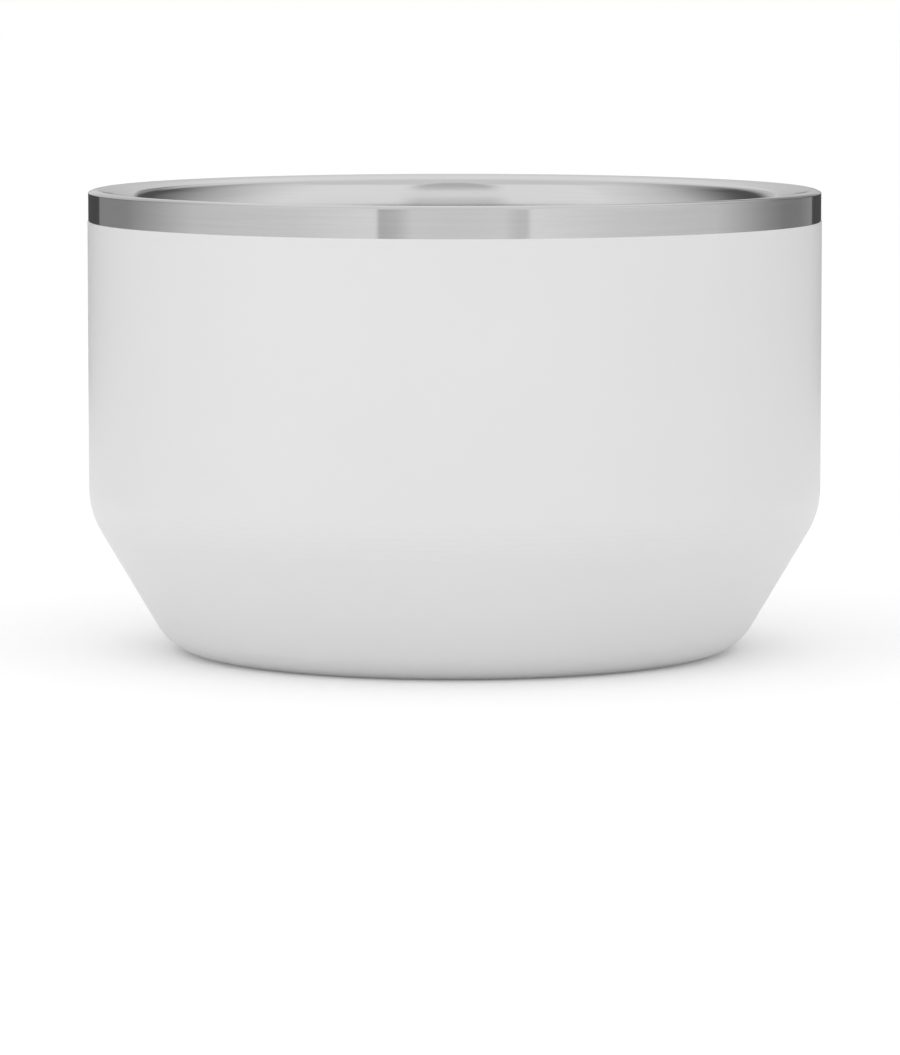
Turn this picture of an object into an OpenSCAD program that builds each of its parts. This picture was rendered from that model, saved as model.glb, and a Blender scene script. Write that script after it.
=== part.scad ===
// Insulated bowl: a double-walled vacuum bowl of stainless sheet, with a white
// powder-coated wall, a bare band under the rim and an open mouth.
// Sizes are millimetres and degrees. The origin is the centre of the standing ring,
// on the table, and +Z is up.

/* [Body] */
// Outside diameter of the powder-coated wall
body_d = 140; // [115:0.5:180]
// Height from the table to the top of the rim
body_h = 88.1; // [75:0.1:120]
// Height of the corner between the wall and the cone, before it is rounded
corner_h = 26.9; // [22:0.1:36]
// Slope of the cone, measured from the vertical
cone_angle = 30.6; // [20:0.1:36]
// Radius that rounds the corner between the wall and the cone
shoulder_r = 16.2; // [4:0.1:24]
// Radius that rounds the cone into the standing ring
foot_r = 10.1; // [5:0.1:12]

/* [Outer shell and coat] */
// Sheet thickness of the outer shell
shell_t = 0.6; // [0.4:0.05:0.9]
// Thickness of the powder coat
coat_t = 0.15; // [0.08:0.01:0.25]
// Height of the bare band, from the top of the rim to the edge of the coat
band_h = 5.9; // [3:0.1:12]
// Height by which the coat laps over the weld between the shell and the rim
coat_lap = 0.5; // [0.2:0.05:1.5]
// Clear height between the lower edge of the coat and the table
coat_clear = 0.05; // [0.02:0.01:0.2]
// Width of the flat standing ring
ring_w = 2.6; // [1.5:0.1:4]
// Height of the lip that turns up inside the standing ring
lip_h = 3.4; // [2.8:0.1:5]
// Outside radius of the bend between the standing ring and its lip
lip_bend_r = 1.5; // [1:0.1:2]

/* [Liner and rim] */
// Sheet thickness of the liner
liner_t = 0.5; // [0.4:0.05:0.8]
// Clear width of the vacuum space in the wall
wall_gap = 8.2; // [6.5:0.05:9.5]
// Clear height of the vacuum space under the floor
floor_gap = 6.6; // [5:0.1:10]
// Inside radius between the wall and the cone of the liner
liner_shoulder_r = 9; // [4:0.5:16]
// Inside radius between the cone and the floor of the liner
liner_floor_r = 12; // [4:0.5:16]
// Radius of the edge where the rim turns down into the band
rim_edge_r = 0.12; // [0.05:0.01:0.25]
// Width from that edge to the corner of the crown, before it is rounded
rim_edge_w = 1.1; // [1.05:0.05:1.6]
// Slope of the rim down to that edge
rim_edge_slope = 30; // [20:1:35]
// Radius of the crown along the top of the rim
crown_r = 3; // [2:0.1:3.1]
// Width of the outer slope of the rim, from the corner of the crown to the crease
rim_outer_w = 3.05; // [2:0.05:3.5]
// Slope of the outer part of the rim, towards the mouth
rim_outer_slope = 7; // [3:0.5:10]
// Slope of the inner part of the rim, towards the mouth
rim_inner_slope = 11; // [9:0.5:16]
// Radius that rounds the crease between the two slopes of the rim
rim_crease_r = 4; // [2:0.5:8]
// Radius that rounds the rim into the flare of the mouth
throat_r = 2.5; // [1.5:0.1:2.9]
// Width by which the mouth flares out towards the rim
flare_w = 1.5; // [1.3:0.1:1.8]
// Slope of that flare, measured from the vertical
flare_angle = 25; // [20:1:28]
// Radius that rounds the flare into the wall of the mouth
flare_r = 8; // [4:0.5:9.5]

/* [Base] */
// Sheet thickness of the outer base
base_t = 0.6; // [0.4:0.05:0.9]
// Outside radius of the bend between the outer base and its skirt
base_bend_r = 1.2; // [1:0.1:1.6]
// Height of the skirt of the outer base
skirt_h = 2; // [1.8:0.1:2.4]
// Radial gap in the nested joints that are welded
weld_gap = 0.05; // [0.02:0.01:0.1]
// Width across the mouth of the sealing pit
pit_d = 12; // [9:0.5:16]
// Depth of the sealing pit
pit_depth = 1.5; // [1:0.1:2]
// Slope of the wall of the sealing pit
pit_slope = 50; // [35:1:60]
// Diameter of the vent hole that the air is drawn through
vent_d = 1.6; // [1:0.1:2.5]
// Sheet thickness of the base cover
cover_t = 0.4; // [0.3:0.05:0.6]
// Depth of the base cover above the table
cover_recess = 1.2; // [0.8:0.1:1.6]
// Radius of the edge of the base cover
cover_edge_r = 0.8; // [0.7:0.05:1]
// Width of the flat margin of the base cover
cover_margin_w = 9; // [5:0.5:14]
// Depth of the dish that is pressed into the base cover
dish_depth = 0.35; // [0.2:0.05:0.6]
// Width of the sloping edge of that dish
dish_edge_w = 2; // [1.5:0.1:3]

/* [Vacuum fittings] */
// Thickness of the radiation shield
foil_t = 0.1; // [0.05:0.01:0.2]
// Gap between the liner and the radiation shield
foil_gap = 0.1; // [0.05:0.01:0.3]
// Distance from the top of the rim to the upper edge of the radiation shield
foil_top = 10; // [9:0.5:20]
// Distance from the floor of the liner to the lower edge of the radiation shield
foil_lift = 9; // [8:0.5:12]
// Diameter of the getter pellet
getter_d = 8; // [6:0.5:10]
// Thickness of the getter pellet
getter_t = 2; // [1.5:0.1:2.5]
// Width of the strap that holds the getter pellet
clip_w = 4; // [3:0.5:5]
// Sheet thickness of that strap
clip_t = 0.3; // [0.2:0.05:0.4]
// Length of each foot of that strap
clip_foot = 3; // [2.5:0.5:4]
// Gap between the strap and the side of the getter pellet
clip_gap = 0.1; // [0.05:0.05:0.3]
// Distance from the wall of the sealing pit to the glass bead that seals the vent
bead_margin = 1.7; // [1:0.1:2]
// Thickness of that bead at its middle
bead_t = 0.9; // [0.6:0.1:1.2]

/* [Hidden] */
// Largest distance between an arc and the chords that stand for it
arc_tol = 0.005;
$fn = 180;

// Bare shell: outside radius, and where its cone reaches the table
shell_r = body_d / 2 - coat_t;
cone_foot_x = shell_r - corner_h * tan(cone_angle);
// Outer end of the standing ring, and inner face of its lip
ring_x = cone_foot_x - foot_r * tan((90 - cone_angle) / 2);
lip_x = ring_x - ring_w - lip_bend_r;
// Height at which the coat gives way to the bare band, and of the weld below it
band_z = body_h - band_h;
weld_z = band_z - coat_lap;

// Inside of the liner: its inset from the shell, its radius, its corner and its floor
liner_inset = shell_t + wall_gap + liner_t;
mouth_r = shell_r - liner_inset;
liner_corner_z = corner_h + liner_inset * tan(cone_angle / 2);
floor_z = lip_h + floor_gap + liner_t;
liner_foot_x = mouth_r - (liner_corner_z - floor_z) * tan(cone_angle);
// Corner of the crown, whose arc has its top at the height of the rim, and the rim's outer edge
crown_x = shell_r - rim_edge_w;
crown_reach = crown_r * tan((rim_edge_slope + rim_outer_slope) / 2);
crown_z = body_h + crown_reach * sin(rim_edge_slope) - crown_r * (1 - cos(rim_edge_slope));
edge_z = crown_z - rim_edge_w * tan(rim_edge_slope);
// Crease of the rim, its edge at the mouth, and the foot of the flare
crease_x = crown_x - rim_outer_w;
crease_z = crown_z - rim_outer_w * tan(rim_outer_slope);
throat_x = mouth_r + flare_w;
throat_z = crease_z - (crease_x - throat_x) * tan(rim_inner_slope);
flare_z = throat_z - flare_w / tan(flare_angle);

// Outer base: its radius, the underside of its plate and the roof of its pit
base_r = lip_x - weld_gap;
base_under_z = lip_h - base_t;
pit_roof_x = pit_d / 2 - pit_depth / tan(pit_slope);
pit_roof_z = lip_h + pit_depth;
// Base cover: its radius, and the outer edge of its dish
cover_r = base_r - base_bend_r - weld_gap;
dish_x = cover_r - cover_margin_w;
// Distance of the getter from the axis: the middle of the flat part of the outer base
getter_x = (pit_d / 2 + base_r - base_bend_r) / 2;

function unit(v) = v / norm(v);
function left_of(v) = unit([-v[1], v[0]]);
function reversed(list) = [for (i = [len(list) - 1:-1:0]) list[i]];

// Points of the arc of radius r that rounds corner b of the path a, b, c
function corner(a, b, c, r) =
    let (
        to_a = unit(a - b),
        to_c = unit(c - b),
        half = acos(to_a * to_c) / 2,
        centre = b + unit(to_a + to_c) * r / sin(half),
        from = b + to_a * r / tan(half) - centre,
        start = atan2(from[1], from[0]),
        side = sign(to_c * left_of(b - a)),
        turn = side * (180 - 2 * half),
        steps = max(2, ceil(abs(turn) / (2 * acos(1 - arc_tol / r))))
    )
    [for (i = [0:steps]) centre + r * [cos(start + turn * i / steps), sin(start + turn * i / steps)]];

// An open path with each of its corners rounded to its own radius, or left sharp at 0
function rounded(path, radii) =
    [for (i = [0:len(path) - 1])
        each radii[i] > 0 ? corner(path[i - 1], path[i], path[i + 1], radii[i]) : [path[i]]];

// The path that runs beside an open path, at a distance to its left
function beside(path, distance) =
    let (last = len(path) - 1)
    [for (i = [0:last])
        let (
            before = left_of(path[max(i, 1)] - path[max(i, 1) - 1]),
            after = left_of(path[min(i + 1, last)] - path[min(i + 1, last) - 1])
        )
        path[i] + distance * (before + after) / (1 + before * after)];

// Closed outline of a sheet with one face on the path and its thickness to the left
function sheet(path, thickness) = concat(path, reversed(beside(path, thickness)));

// Outer face of the shell, from its lip round the standing ring and up to the weld
shell_face = rounded(
    [[lip_x, lip_h], [lip_x, 0], [cone_foot_x, 0], [shell_r, corner_h], [shell_r, weld_z]],
    [0, lip_bend_r, foot_r, shoulder_r, 0]);

// The part of that face that is coated, with the lap over the weld
coat_face = concat(
    [for (p = shell_face) if (p[0] > ring_x && p[1] > coat_t + coat_clear && p[1] < weld_z) p],
    [[shell_r, band_z]]);

// Corners of the liner, from the weld up the band, over the rim and down to the floor
liner_path = [[shell_r, weld_z], [shell_r, edge_z], [crown_x, crown_z], [crease_x, crease_z],
    [throat_x, throat_z], [mouth_r, flare_z], [mouth_r, liner_corner_z],
    [liner_foot_x, floor_z], [0, floor_z]];
// Their radii, with the radius of the rim's outer edge given
function liner_radii(edge_r) =
    [0, edge_r, crown_r, rim_crease_r, throat_r, flare_r, liner_shoulder_r, liner_floor_r, 0];
// Face of the liner that shows, and its back, whose corner behind that edge stays sharp
liner_face = rounded(liner_path, liner_radii(rim_edge_r));
liner_back = beside(rounded(liner_path, liner_radii(0)), liner_t);

// Wall and cone of the liner where the radiation shield wraps them
foil_bottom = [liner_foot_x + foil_lift * tan(cone_angle), floor_z + foil_lift];
foil_path = rounded(
    [[mouth_r, body_h - foil_top], [mouth_r, liner_corner_z], foil_bottom],
    [0, liner_shoulder_r, 0]);

module outer_shell() {
    color("silver")
        rotate_extrude()
            polygon(sheet(shell_face, shell_t));
}

module powder_coat() {
    color("whitesmoke")
        rotate_extrude()
            polygon(sheet(coat_face, -coat_t));
}

module inner_liner() {
    color("lightgray")
        rotate_extrude()
            polygon(concat(liner_face, reversed(liner_back)));
}

module radiation_shield() {
    color("peru")
        rotate_extrude()
            polygon(sheet(beside(foil_path, liner_t + foil_gap), foil_t));
}

module outer_base() {
    path = [[base_r, lip_h - skirt_h], [base_r, lip_h], [pit_d / 2, lip_h],
        [pit_roof_x, pit_roof_z], [vent_d / 2, pit_roof_z]];
    color("darkgray")
        rotate_extrude()
            polygon(sheet(rounded(path, [0, base_bend_r, base_t, base_t * 2, 0]), base_t));
}

module base_cover() {
    path = [[0, cover_recess + dish_depth], [dish_x - dish_edge_w, cover_recess + dish_depth],
        [dish_x, cover_recess], [cover_r, cover_recess], [cover_r, base_under_z]];
    color("gainsboro")
        rotate_extrude()
            polygon(sheet(rounded(path, [0, dish_edge_w, dish_edge_w, cover_edge_r, 0]), cover_t));
}

// Glass that has run into the vent and set as a shallow drop in the pit
module seal_bead() {
    roof_z = pit_roof_z - base_t;
    bead_r = pit_roof_x - bead_margin;
    drop_r = (pow(bead_r, 2) + pow(bead_t, 2)) / (2 * bead_t);
    reach = asin(bead_r / drop_r);
    steps = 12;
    drop = [for (i = [0:steps])
        drop_r * [sin(reach * i / steps), cos(reach) - cos(reach * i / steps)]];
    color("dimgray")
        rotate_extrude()
            polygon(concat(
                [for (p = drop) [p[0], roof_z + p[1]]],
                [[vent_d / 2, roof_z], [vent_d / 2, pit_roof_z], [0, pit_roof_z]]));
}

// The upper edge of the pellet is chamfered to clear the bends of the strap
module getter_pellet() {
    edge = clip_t;
    color("slategray")
        translate([getter_x, 0, lip_h])
            rotate_extrude()
                polygon([[0, 0], [getter_d / 2, 0], [getter_d / 2, getter_t - edge],
                    [getter_d / 2 - edge, getter_t], [0, getter_t]]);
}

module getter_clip() {
    leg = getter_d / 2 + clip_gap;
    foot = leg + clip_foot;
    path = [[-foot, 0], [-leg, 0], [-leg, getter_t], [leg, getter_t], [leg, 0], [foot, 0]];
    bend = clip_t * 2;
    color("silver")
        translate([getter_x, 0, lip_h])
            rotate([90, 0, 90])
                translate([0, 0, -clip_w / 2])
                    linear_extrude(clip_w)
                        polygon(sheet(rounded(path, [0, bend, clip_t, clip_t, bend, 0]), clip_t));
}

outer_shell();
powder_coat();
inner_liner();
radiation_shield();
outer_base();
base_cover();
seal_bead();
getter_pellet();
getter_clip();
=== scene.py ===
"""Looks of the insulated bowl: turned steel sheets, a white powder coat and a plain studio.

Lengths are metres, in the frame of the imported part: the axis of the bowl is Z, the table is
z = 0, and the camera looks along +Y.
"""

import math

import bmesh
import bpy
from mathutils import Matrix, Vector


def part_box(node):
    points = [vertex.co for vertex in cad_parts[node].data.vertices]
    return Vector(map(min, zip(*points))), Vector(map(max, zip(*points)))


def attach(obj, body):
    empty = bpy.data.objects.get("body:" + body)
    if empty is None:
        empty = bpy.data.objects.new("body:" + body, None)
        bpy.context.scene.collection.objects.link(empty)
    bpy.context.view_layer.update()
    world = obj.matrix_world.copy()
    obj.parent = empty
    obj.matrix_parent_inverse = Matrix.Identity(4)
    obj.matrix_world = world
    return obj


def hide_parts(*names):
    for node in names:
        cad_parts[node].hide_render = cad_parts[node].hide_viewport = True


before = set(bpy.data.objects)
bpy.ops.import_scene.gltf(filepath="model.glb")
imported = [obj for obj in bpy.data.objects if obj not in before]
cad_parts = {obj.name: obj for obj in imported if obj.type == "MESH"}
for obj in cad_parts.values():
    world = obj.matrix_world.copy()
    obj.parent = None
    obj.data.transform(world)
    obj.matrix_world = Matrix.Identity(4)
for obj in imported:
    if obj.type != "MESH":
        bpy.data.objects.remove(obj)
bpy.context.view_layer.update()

MM = 0.001

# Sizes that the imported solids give
COAT_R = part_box("powder_coat")[1].x
SHELL_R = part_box("outer_shell")[1].x
RIM_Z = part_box("inner_liner")[1].z
BAND_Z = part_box("powder_coat")[1].z
SHELL_TOP_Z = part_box("outer_shell")[1].z
LINER_LOW_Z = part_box("inner_liner")[0].z
COVER_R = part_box("base_cover")[1].x
COVER_LOW_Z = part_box("base_cover")[0].z
COVER_TOP_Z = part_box("base_cover")[1].z

# Sizes of the outer shell and its coat
CORNER_Z = 26.9 * MM
CONE = math.radians(30.6)
SHOULDER_R = 16.2 * MM
FOOT_R = 10.1 * MM
SHELL_T = 0.6 * MM
RING_W = 2.6 * MM
LIP_H = 3.4 * MM
LIP_BEND_R = 1.5 * MM
COAT_T = COAT_R - SHELL_R
COAT_LOW_Z = COAT_T + 0.05 * MM

# Sizes of the liner and its rim
LINER_T = 0.5 * MM
WALL_GAP = 8.2 * MM
LINER_SHOULDER_R = 9 * MM
LINER_FLOOR_R = 12 * MM
RIM_EDGE_R = 0.12 * MM
RIM_EDGE_W = 1.1 * MM
RIM_EDGE_SLOPE = math.radians(30)
CROWN_R = 3 * MM
RIM_OUTER_W = 3.05 * MM
RIM_OUTER_SLOPE = math.radians(7)
RIM_INNER_SLOPE = math.radians(11)
RIM_CREASE_R = 4 * MM
THROAT_R = 2.5 * MM
FLARE_W = 1.5 * MM
FLARE_ANGLE = math.radians(25)
FLARE_R = 9.5 * MM

# Sizes of the base cover
COVER_T = 0.4 * MM
COVER_EDGE_R = 0.8 * MM
COVER_MARGIN_W = 9 * MM
DISH_DEPTH = 0.35 * MM
DISH_EDGE_W = 2 * MM

# Sizes that follow from these
FOOT_X = SHELL_R - CORNER_Z * math.tan(CONE)
RING_X = FOOT_X - FOOT_R * math.tan((math.pi / 2 - CONE) / 2)
LINER_INSET = SHELL_T + WALL_GAP + LINER_T
MOUTH_R = SHELL_R - LINER_INSET
THROAT_X = MOUTH_R + FLARE_W

# Fineness of the turned meshes
SEGMENTS = 288
ARC_STEP = math.radians(4)
EASE = 0.05 * MM
SHARP_TURN = math.radians(32)


# Tools for turned pieces

def corner_arc(here, last, following, radius):
    """The points of the arc that rounds one corner of a path."""
    to_last = (last - here).normalized()
    to_next = (following - here).normalized()
    half = to_last.angle(to_next) / 2
    centre = here + (to_last + to_next).normalized() * radius / math.sin(half)
    start = here + to_last * radius / math.tan(half) - centre
    turn = math.pi - 2 * half
    side = 1 if to_last.x * to_next.y - to_last.y * to_next.x < 0 else -1
    count = max(3, math.ceil(turn / ARC_STEP))
    return [centre + Matrix.Rotation(side * turn * k / count, 2) @ start for k in range(count + 1)]


def rounded(path, radii):
    """The points of an open path whose corners have their own radii, or stay sharp at 0."""
    corners = [Vector(point) for point in path]
    points = []
    for i, radius in enumerate(radii):
        if radius == 0:
            points.append(corners[i])
        else:
            points += corner_arc(corners[i], corners[i - 1], corners[i + 1], radius)
    return eased(points)


def eased(points):
    """The same path with a point close to each end of its long parts, so that these shade evenly."""
    result = points[:1]
    for a, b in zip(points, points[1:]):
        length = (b - a).length
        if length > 20 * EASE:
            result += [a.lerp(b, EASE / length), b.lerp(a, EASE / length)]
        result.append(b)
    return result


def left_of(a, b):
    """The direction to the left of a step from one point to the next."""
    along = (b - a).normalized()
    return Vector((-along.y, along.x))


def beside(points, distance):
    """The path that runs beside an open path, at a distance to its left."""
    last = len(points) - 1
    result = []
    for i, point in enumerate(points):
        before = left_of(points[max(i, 1) - 1], points[max(i, 1)])
        after = left_of(points[min(i, last - 1)], points[min(i, last - 1) + 1])
        result.append(point + (before + after) * distance / (1 + before.dot(after)))
    return result


def placed(name, mesh):
    """An object in the scene from a finished mesh."""
    data = bpy.data.meshes.new(name)
    mesh.to_mesh(data)
    mesh.free()
    item = bpy.data.objects.new(name, data)
    bpy.context.scene.collection.objects.link(item)
    return item


def ring_of(mesh, radius, height):
    """The points of one turn round the axis, or one point repeated where the outline meets it."""
    if radius < 1e-7:
        return [mesh.verts.new((0, 0, height))] * SEGMENTS
    turns = [2 * math.pi * k / SEGMENTS for k in range(SEGMENTS)]
    return [mesh.verts.new((radius * math.cos(a), radius * math.sin(a), height)) for a in turns]


def turned(name, outline):
    """A solid of revolution about Z from a closed outline of radius and height."""
    mesh = bmesh.new()
    rings = [ring_of(mesh, radius, height) for radius, height in outline]
    for ring, following in zip(rings, rings[1:] + rings[:1]):
        for k in range(SEGMENTS):
            corners = [ring[k], ring[k - 1], following[k - 1], following[k]]
            corners = list(dict.fromkeys(corners))
            if len(corners) > 2:
                mesh.faces.new(corners)
    bmesh.ops.recalc_face_normals(mesh, faces=mesh.faces[:])
    for face in mesh.faces:
        face.smooth = True
    for edge in mesh.edges:
        edge.smooth = edge.calc_face_angle(0) < SHARP_TURN
    return placed(name, mesh)


def sheet(name, face, thickness):
    """A turned sheet with one face on the path and its thickness to the left."""
    return turned(name, face + beside(face, thickness)[::-1])


# Outlines of the pieces that show

def shell_outline():
    """The outer face of the shell, from the lip inside the standing ring up to the weld."""
    lip_x = RING_X - RING_W - LIP_BEND_R
    path = [(lip_x, LIP_H), (lip_x, 0), (FOOT_X, 0), (SHELL_R, CORNER_Z), (SHELL_R, SHELL_TOP_Z)]
    return rounded(path, [0, LIP_BEND_R, FOOT_R, SHOULDER_R, 0])


def coat_outline(shell_face):
    """The part of the shell's face that the coat covers, and on up to the bare band."""
    covered = [p for p in shell_face if p.x > RING_X and COAT_LOW_Z < p.y < SHELL_TOP_Z]
    return covered + [Vector((SHELL_R, BAND_Z))]


def rim_path():
    """The corners of the rim: outer edge, crown, crease and throat."""
    crown_x = SHELL_R - RIM_EDGE_W
    reach = CROWN_R * math.tan((RIM_EDGE_SLOPE + RIM_OUTER_SLOPE) / 2)
    crown_z = RIM_Z + reach * math.sin(RIM_EDGE_SLOPE) - CROWN_R * (1 - math.cos(RIM_EDGE_SLOPE))
    edge_z = crown_z - RIM_EDGE_W * math.tan(RIM_EDGE_SLOPE)
    crease_x = crown_x - RIM_OUTER_W
    crease_z = crown_z - RIM_OUTER_W * math.tan(RIM_OUTER_SLOPE)
    throat_z = crease_z - (crease_x - THROAT_X) * math.tan(RIM_INNER_SLOPE)
    return [(SHELL_R, edge_z), (crown_x, crown_z), (crease_x, crease_z), (THROAT_X, throat_z)]


def liner_outline():
    """The liner's closed outline: hem, rim, flared mouth, wall, cone and floor, and its back."""
    rim = rim_path()
    flare_z = rim[-1][1] - FLARE_W / math.tan(FLARE_ANGLE)
    corner_z = CORNER_Z + LINER_INSET * math.tan(CONE / 2)
    floor_z = LINER_LOW_Z + LINER_T
    foot_x = MOUTH_R - (corner_z - floor_z) * math.tan(CONE)
    cup = [(MOUTH_R, flare_z), (MOUTH_R, corner_z), (foot_x, floor_z), (0, floor_z)]
    path = [(SHELL_R, SHELL_TOP_Z)] + rim + cup
    radii = [CROWN_R, RIM_CREASE_R, THROAT_R, FLARE_R, LINER_SHOULDER_R, LINER_FLOOR_R, 0]
    face = rounded(path, [0, RIM_EDGE_R] + radii)
    back = beside(rounded(path, [0, 0] + radii), LINER_T)
    return face + back[::-1]


def cover_outline():
    """The lower face of the base cover: a shallow dish, a flat margin and a turned-up edge."""
    dish_x = COVER_R - COVER_MARGIN_W
    dish_z = COVER_LOW_Z + DISH_DEPTH
    path = [
        (0, dish_z),
        (dish_x - DISH_EDGE_W, dish_z),
        (dish_x, COVER_LOW_Z),
        (COVER_R, COVER_LOW_Z),
        (COVER_R, COVER_TOP_Z),
    ]
    return rounded(path, [0, DISH_EDGE_W, DISH_EDGE_W, COVER_EDGE_R, 0])


shell_face = shell_outline()
coat = sheet("coat", coat_outline(shell_face), -COAT_T)
shell = sheet("shell", shell_face, SHELL_T)
liner = turned("liner", liner_outline())
cover = sheet("cover", cover_outline(), COVER_T)


# Materials

def new_material(name):
    """A material, its shader, a helper that adds a node and one that links to the shader."""
    material = bpy.data.materials.new(name)
    material.use_nodes = True
    tree = material.node_tree
    shader = tree.nodes["Principled BSDF"]

    def add(kind, inputs=None, **settings):
        node = tree.nodes.new(kind)
        for key, value in settings.items():
            setattr(node, key, value)
        for key, value in (inputs or {}).items():
            if isinstance(value, bpy.types.NodeSocket):
                tree.links.new(value, node.inputs[key])
            else:
                node.inputs[key].default_value = value
        return node

    def link(output, key):
        tree.links.new(output, shader.inputs[key])

    return material, shader, add, link


def ranged(add, value, source, target):
    """A value carried from one range to another."""
    inputs = {"Value": value, "From Min": source[0], "From Max": source[1]}
    inputs.update({"To Min": target[0], "To Max": target[1]})
    return add("ShaderNodeMapRange", inputs).outputs["Result"]


def noise(add, place, scale, detail):
    """A noise value at a place."""
    inputs = {"Vector": place, "Scale": scale, "Detail": detail}
    return add("ShaderNodeTexNoise", inputs).outputs["Fac"]


def grey_of(add, shade):
    """A grey colour from one value."""
    return add("ShaderNodeCombineColor", {"Red": shade, "Green": shade, "Blue": shade}).outputs["Color"]


def from_axis(add):
    """The distance from the axis, the direction away from it and the height."""
    place = add("ShaderNodeTexCoord").outputs["Object"]
    flat = add("ShaderNodeVectorMath", {0: place, 1: (1, 1, 0)}, operation="MULTIPLY").outputs["Vector"]
    radius = add("ShaderNodeVectorMath", {0: flat}, operation="LENGTH").outputs["Value"]
    heading = add("ShaderNodeVectorMath", {0: flat}, operation="NORMALIZE").outputs["Vector"]
    height = add("ShaderNodeSeparateXYZ", {0: place}).outputs["Z"]
    return radius, heading, height


def around_axis(add, round_scale, profile_scale):
    """A place that moves slowly round the axis and fast along the profile, for marks of turning."""
    radius, heading, height = from_axis(add)
    along = add("ShaderNodeMath", {0: radius, 1: height}, operation="ADD").outputs["Value"]
    along = add("ShaderNodeMath", {0: along, 1: profile_scale}, operation="MULTIPLY").outputs["Value"]
    climb = add("ShaderNodeCombineXYZ", {"Z": along}).outputs["Vector"]
    slow = add("ShaderNodeVectorMath", {0: heading, "Scale": round_scale}, operation="SCALE")
    parts = {0: slow.outputs["Vector"], 1: climb}
    return add("ShaderNodeVectorMath", parts, operation="ADD").outputs["Vector"]


def steel(name, grey, inside_rough, outside_rough, edge_r, anisotropy):
    """Stainless sheet brushed round the axis, with one finish inside a radius and one outside it."""
    material, shader, add, link = new_material(name)
    shader.inputs["Metallic"].default_value = 1.0
    shader.inputs["Anisotropic"].default_value = anisotropy
    shader.inputs["Anisotropic Rotation"].default_value = 0.25
    tangent = add("ShaderNodeTangent", direction_type="RADIAL", axis="Z")
    link(tangent.outputs["Tangent"], "Tangent")
    lines = noise(add, around_axis(add, 5.0, 9000.0), 1.0, 3.0)
    streaks = noise(add, around_axis(add, 2.0, 1400.0), 1.0, 4.0)
    both = add("ShaderNodeMath", {0: lines, 1: streaks}, operation="ADD").outputs["Value"]
    shade = ranged(add, both, (0.6, 1.4), (grey * 0.97, grey * 1.03))
    link(grey_of(add, shade), "Base Color")
    finish = ranged(add, from_axis(add)[0], (edge_r, edge_r + 0.8 * MM), (inside_rough, outside_rough))
    wear = ranged(add, both, (0.6, 1.4), (0.85, 1.15))
    rough = add("ShaderNodeMath", {0: finish, 1: wear}, operation="MULTIPLY")
    link(rough.outputs["Value"], "Roughness")
    bump = add("ShaderNodeBump", {"Height": lines, "Strength": 0.1, "Distance": 0.00001})
    link(bump.outputs["Normal"], "Normal")
    return material


def powder_coat(name, grey):
    """White powder coat: satin, with a fine orange peel and faint drifts of tone."""
    material, shader, add, link = new_material(name)
    shader.inputs["Specular IOR Level"].default_value = 0.55
    place = add("ShaderNodeTexCoord").outputs["Object"]
    peel = noise(add, place, 900.0, 2.0)
    drift = noise(add, place, 25.0, 3.0)
    shade = ranged(add, drift, (0.3, 0.7), (grey * 0.992, grey * 1.008))
    link(grey_of(add, shade), "Base Color")
    link(ranged(add, peel, (0.3, 0.7), (0.32, 0.4)), "Roughness")
    bump = add("ShaderNodeBump", {"Height": peel, "Strength": 0.25, "Distance": 0.00003})
    link(bump.outputs["Normal"], "Normal")
    return material


def speckled(name, colour, metallic, roughness, scale):
    """A plain fitting with a little unevenness in tone and gloss."""
    material, shader, add, link = new_material(name)
    shader.inputs["Metallic"].default_value = metallic
    grain = noise(add, add("ShaderNodeTexCoord").outputs["Object"], scale, 4.0)
    dark = [c * 0.85 for c in colour] + [1]
    light = [min(1, c * 1.1) for c in colour] + [1]
    tone = add("ShaderNodeMix", {"Factor": grain, "A": dark, "B": light}, data_type="RGBA")
    link(tone.outputs["Result"], "Base Color")
    link(ranged(add, grain, (0, 1), (roughness * 0.8, roughness * 1.2)), "Roughness")
    return material


white_coat = powder_coat("white_coat", 0.78)
shell_steel = steel("shell_steel", 0.62, 0.3, 0.3, SHELL_R, 0.8)
liner_steel = steel("liner_steel", 0.66, 0.14, 0.1, THROAT_X - 0.4 * MM, 0.8)
cover_steel = steel("cover_steel", 0.6, 0.3, 0.3, COVER_R, 0.6)
mill_steel = speckled("mill_steel", (0.55, 0.55, 0.56), 1.0, 0.35, 400)
copper_foil = speckled("copper_foil", (0.85, 0.48, 0.33), 1.0, 0.25, 200)
sealing_glass = speckled("sealing_glass", (0.16, 0.17, 0.17), 0.0, 0.15, 900)
getter_metal = speckled("getter_metal", (0.25, 0.25, 0.27), 0.6, 0.7, 2500)

# Pieces that take the place of their solids
for piece, node, slot, material in (
    (coat, "powder_coat", "white_coat", white_coat),
    (shell, "outer_shell", "shell_steel", shell_steel),
    (liner, "inner_liner", "liner_steel", liner_steel),
    (cover, "base_cover", "cover_steel", cover_steel),
):
    piece.data.materials.append(material)
    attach(piece, "root")
    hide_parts(node)

# Solids that show as they are
for node, material in (
    ("outer_base", mill_steel),
    ("radiation_shield", copper_foil),
    ("seal_bead", sealing_glass),
    ("getter_pellet", getter_metal),
    ("getter_clip", mill_steel),
):
    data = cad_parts[node].data
    data.materials.clear()
    data.materials.append(material)


# Camera, at the viewing angle of the photograph

IMAGE_W = 900
IMAGE_H = 1055
TARGET_PIXEL = (454.7, 419.2)
TARGET = Vector((0, 0, 44.0 * MM))
CAMERA_DISTANCE = 1154 * MM
CAMERA_ELEVATION = math.radians(4.75)
FOCAL_PIXELS = 6022.5


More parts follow.
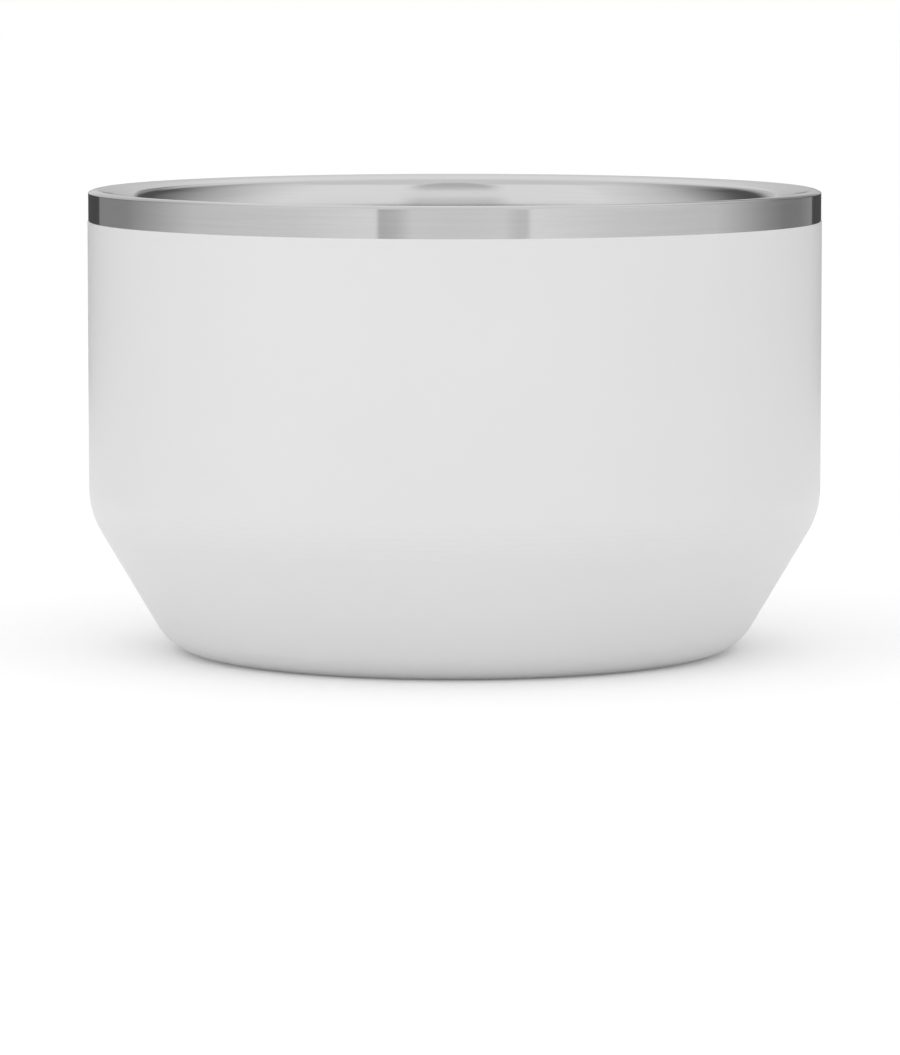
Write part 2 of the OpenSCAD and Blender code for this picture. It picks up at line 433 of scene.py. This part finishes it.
def make_camera():
    """A camera turned so that the target falls on its pixel, with no shift."""
    data = bpy.data.cameras.new("camera")
    data.sensor_width = 36
    data.lens = FOCAL_PIXELS * data.sensor_width / max(IMAGE_W, IMAGE_H)
    data.clip_end = 50
    camera = bpy.data.objects.new("camera", data)
    back = Vector((0, -math.cos(CAMERA_ELEVATION), math.sin(CAMERA_ELEVATION)))
    pitch = -math.atan((IMAGE_H / 2 - TARGET_PIXEL[1]) / FOCAL_PIXELS)
    yaw = math.atan((TARGET_PIXEL[0] - IMAGE_W / 2) / FOCAL_PIXELS)
    aim = (-back).to_track_quat("-Z", "Y").to_matrix()
    aim = aim @ Matrix.Rotation(yaw, 3, "Y") @ Matrix.Rotation(pitch, 3, "X")
    camera.matrix_world = Matrix.LocRotScale(TARGET + back * CAMERA_DISTANCE, aim, None)
    bpy.context.scene.collection.objects.link(camera)
    bpy.context.scene.camera = camera


make_camera()


# Studio

HORIZON_LIGHT = 0.31
ZENITH_LIGHT = 1.24
FLOOR_GREY = 0.94
FLOOR_R = 6.0


def shown_white(nodes, links):
    """A value of 1 for rays that see the plain white background: camera, glossy and transmission."""
    path = nodes.new("ShaderNodeLightPath")
    either = nodes.new("ShaderNodeMath")
    either.operation = "MAXIMUM"
    links.new(path.outputs["Is Camera Ray"], either.inputs[0])
    links.new(path.outputs["Is Glossy Ray"], either.inputs[1])
    any_of = nodes.new("ShaderNodeMath")
    any_of.operation = "MAXIMUM"
    links.new(either.outputs[0], any_of.inputs[0])
    links.new(path.outputs["Is Transmission Ray"], any_of.inputs[1])
    return any_of.outputs[0]


def make_sky():
    """Soft light from all round, brighter from above, that looks plain white."""
    world = bpy.data.worlds.new("studio")
    bpy.context.scene.world = world
    world.use_nodes = True
    nodes = world.node_tree.nodes
    links = world.node_tree.links
    backdrop = nodes["Background"]
    backdrop.inputs["Color"].default_value = (1, 1, 1, 1)
    heading = nodes.new("ShaderNodeTexCoord")
    height = nodes.new("ShaderNodeSeparateXYZ")
    links.new(heading.outputs["Generated"], height.inputs[0])
    sky = nodes.new("ShaderNodeMapRange")
    sky.inputs["To Min"].default_value = HORIZON_LIGHT
    sky.inputs["To Max"].default_value = ZENITH_LIGHT
    links.new(height.outputs["Z"], sky.inputs["Value"])
    level = nodes.new("ShaderNodeMix")
    level.inputs["B"].default_value = 1.0
    links.new(sky.outputs["Result"], level.inputs["A"])
    links.new(shown_white(nodes, links), level.inputs["Factor"])
    links.new(level.outputs["Result"], backdrop.inputs["Strength"])


def floor_paint():
    """White matt paint, lifted to the white of the background and still open to shadows."""
    material = bpy.data.materials.new("floor")
    material.use_nodes = True
    nodes = material.node_tree.nodes
    links = material.node_tree.links
    nodes.remove(nodes["Principled BSDF"])
    paint = nodes.new("ShaderNodeBsdfDiffuse")
    paint.inputs["Color"].default_value = (FLOOR_GREY, FLOOR_GREY, FLOOR_GREY, 1)
    lift = nodes.new("ShaderNodeEmission")
    level = nodes.new("ShaderNodeMath")
    level.operation = "MULTIPLY"
    level.inputs[1].default_value = 1 - FLOOR_GREY * (HORIZON_LIGHT + 2 * ZENITH_LIGHT) / 3
    links.new(shown_white(nodes, links), level.inputs[0])
    links.new(level.outputs[0], lift.inputs["Strength"])
    together = nodes.new("ShaderNodeAddShader")
    links.new(paint.outputs[0], together.inputs[0])
    links.new(lift.outputs[0], together.inputs[1])
    links.new(together.outputs[0], nodes["Material Output"].inputs["Surface"])
    return material


def make_floor():
    """A wide round floor at the height that the bowl stands on."""
    mesh = bmesh.new()
    bmesh.ops.create_circle(mesh, cap_ends=True, segments=96, radius=FLOOR_R)
    floor = placed("floor", mesh)
    floor.data.materials.append(floor_paint())


def soft_box(name, place, width, height, watts):
    """An oblong area light that faces the bowl."""
    data = bpy.data.lights.new(name, "AREA")
    data.shape = "RECTANGLE"
    data.size = width
    data.size_y = height
    data.energy = watts
    light = bpy.data.objects.new(name, data)
    light.location = place
    light.visible_glossy = False
    aim = Vector((0, 0, RIM_Z / 2)) - Vector(place)
    light.rotation_euler = aim.to_track_quat("-Z", "Y").to_euler()
    bpy.context.scene.collection.objects.link(light)


make_sky()
make_floor()
soft_box("key_left", (-0.85, -0.75, 0.26), 1.2, 0.5, 1.95)
soft_box("key_right", (0.75, -0.85, 0.26), 1.2, 0.5, 1.4)


# Cards that only reflections see
# Their angles are degrees, counted from the camera side round to straight behind

CARD_R = 0.6
CARD_STEP = 0.5
LOW_CARD_H = 0.098
FRONT_FULL = 15
FRONT_EDGE = 23
TALL_R = 4.0
TALL_EDGE = 60

# How far the edge of the dark part leans for each degree of height, up to a highest angle
SLANT = 0.3
SLANT_FROM = 25
SLANT_TOP = 45

# Levels of the low cards on each side, by angle
LOW_LEFT = [
    (0, 0.8), (12, 0.82), (17, 0.61), (22, 0.53), (22.5, 0.93), (32, 0.89), (48, 0.8), (65, 0.77),
    (84, 0.71), (102, 0.47), (118, 0.31), (141.5, 0.28), (142, 0.075), (180, 0.075),
]
LOW_RIGHT = [
    (0, 0.8), (14, 0.83), (18, 0.7), (21, 0.68), (22, 0.94), (32, 0.89), (48, 0.8), (65, 0.75),
    (84, 0.7), (97, 0.51), (107, 0.36), (119, 0.25), (130, 0.245), (144, 0.32), (144.5, 0.075),
    (180, 0.075),
]

# Radii, heights and levels of the dark strips in front, which fade out to each side
FRONT = [
    (0.6, 0.1, 0.75), (0.6, 0.28, 0.78), (0.6, 0.36, 0.96), (0.6, 0.58, 0.96), (0.6, 0.71, 0.6),
    (0.6, 1.25, 0.6), (0.2, 1.25, 0.6), (0.1, 1.25, 0.85),
]

# Radii, heights and levels of the card overhead
TOP = [(0.0, 1.3, 0.82), (0.35, 1.3, 0.8), (0.65, 1.3, 0.8)]

# Angle above the rim, level straight behind and level at the sides of the tall cards
TALL = [
    (0, 0.48, 0.12), (7, 0.59, 0.1), (10, 0.64, 0.1), (13, 0.69, 0.1), (17, 0.8, 0.1), (20, 0.88, 0.1),
    (24, 0.87, 0.1), (30, 0.87, 0.12), (40, 0.88, 0.38), (53, 0.86, 0.68), (64, 0.8, 0.82),
]

# Share of the level at the sides, by angle
FADE_LEFT = [(60, 0.05), (84, 0.25), (98, 0.42), (113, 0.72), (125, 0.93), (134, 1.0), (180, 1.0)]
FADE_RIGHT = [(66, 0.0), (84, 0.18), (98, 0.37), (113, 0.56), (128, 0.8), (145, 1.0), (180, 1.0)]

# Angles where the light part behind starts and where it is full, by the angle above the rim
LIGHT_LEFT = [(0, 160), (7, 158), (10, 149), (24, 149), (30, 149), (40, 147)]
LIGHT_RIGHT = [(0, 162), (10, 163.5), (13, 164), (17, 162), (20, 160.5), (24, 158.5), (30, 152), (40, 147)]
FULL_LEFT = [
    (0, 176), (7, 176), (10, 173), (13, 174), (17, 174), (20, 173.5), (24, 173), (30, 169), (40, 163),
]
FULL_RIGHT = [(0, 172), (10, 173), (13, 174), (17, 178), (24, 178), (30, 169), (40, 163)]

# Levels by angle in between, with the lowest and highest angle above the rim that has them
STEPS_LEFT = [
    (0, 7, [(168, 0.6), (171, 0.7), (174.5, 0.66)]),
    (10, 24, [(155, 0.3), (159, 0.48), (164, 0.6), (168, 0.59)]),
]
STEPS_RIGHT = [(17, 24, [(164, 0.28), (168, 0.35), (171.5, 0.28), (174, 0.33), (175.5, 0.45)])]


def card_glow():
    """A material that shines with the level kept at each point of a card."""
    material = bpy.data.materials.new("cards")
    material.use_nodes = True
    nodes = material.node_tree.nodes
    links = material.node_tree.links
    nodes.remove(nodes["Principled BSDF"])
    glow = nodes.new("ShaderNodeEmission")
    tone = nodes.new("ShaderNodeAttribute")
    tone.attribute_name = "level"
    links.new(tone.outputs["Fac"], glow.inputs["Strength"])
    links.new(glow.outputs[0], nodes["Material Output"].inputs["Surface"])
    return material


card_material = card_glow()


def level_at(stops, place):
    """The value at a place, straight between the stops on each side of it."""
    for (a, low), (b, high) in zip(stops, stops[1:]):
        if a <= place <= b:
            return low + (high - low) * (place - a) / max(b - a, 1e-9)
    return stops[0][1] if place < stops[0][0] else stops[-1][1]


def steps(low, high, step):
    """Even steps from one angle to another, both included."""
    count = round((high - low) / step)
    return [low + (high - low) * k / count for k in range(count + 1)]


def card(name, rows, turns, level):
    """A card of rows with radius and height, turned through angles, with a level at each point."""
    mesh = bmesh.new()
    tone_layer = mesh.verts.layers.float.new("level")
    grid = []
    for i, (radius, height) in enumerate(rows):
        line = []
        for turn in turns:
            angle = math.radians(turn)
            vert = mesh.verts.new((radius * math.sin(angle), -radius * math.cos(angle), height))
            vert[tone_layer] = level(i, turn)
            line.append(vert)
        grid.append(line)
    for low, high in zip(grid, grid[1:]):
        for k in range(len(turns) - 1):
            mesh.faces.new((low[k], low[k + 1], high[k + 1], high[k]))
    item = placed(name, mesh)
    item.data.materials.append(card_material)
    item.visible_camera = False
    item.visible_diffuse = False
    item.visible_shadow = False


def low_level(i, turn):
    """The level of the low cards, which the bare band reflects."""
    return level_at(LOW_LEFT if turn < 0 else LOW_RIGHT, abs(turn))


def front_level(i, turn):
    """The level of the strips in front, which the back of the mouth reflects."""
    strip = FRONT[i][2]
    return level_at([(FRONT_FULL, strip), (FRONT_EDGE, 1.0)], abs(turn))


def top_level(i, turn):
    """The level of the card overhead."""
    return TOP[i][2]


def tall_level(i, turn):
    """The level of the tall cards: white at the sides, dark further round, light straight behind."""
    climb, behind, side = TALL[i]
    lean = SLANT * (min(climb, SLANT_TOP) - SLANT_FROM)
    fade = level_at(FADE_LEFT if turn < 0 else FADE_RIGHT, abs(turn) + lean)
    dark = 1 - (1 - side) * fade
    start = level_at(LIGHT_LEFT if turn < 0 else LIGHT_RIGHT, climb)
    full = level_at(FULL_LEFT if turn < 0 else FULL_RIGHT, climb)
    stops = [(start, dark)]
    for low, high, between in STEPS_LEFT if turn < 0 else STEPS_RIGHT:
        if low <= climb <= high:
            stops += between
    return level_at(stops + [(full, behind)], abs(turn))


tall_rows = [(TALL_R, RIM_Z + TALL_R * math.tan(math.radians(row[0]))) for row in TALL]
tall_turns = steps(TALL_EDGE, 180, CARD_STEP)
card("low_cards", [(CARD_R, 0), (CARD_R, LOW_CARD_H)], steps(-180, 180, CARD_STEP), low_level)
card("front_card", [row[:2] for row in FRONT], steps(-FRONT_EDGE, FRONT_EDGE, CARD_STEP), front_level)
card("top_card", [row[:2] for row in TOP], steps(-180, 180, 10), top_level)
card("tall_left", tall_rows, [-angle for angle in tall_turns], tall_level)
card("tall_right", tall_rows, tall_turns, tall_level)

bpy.context.scene.view_settings.view_transform = "Standard"
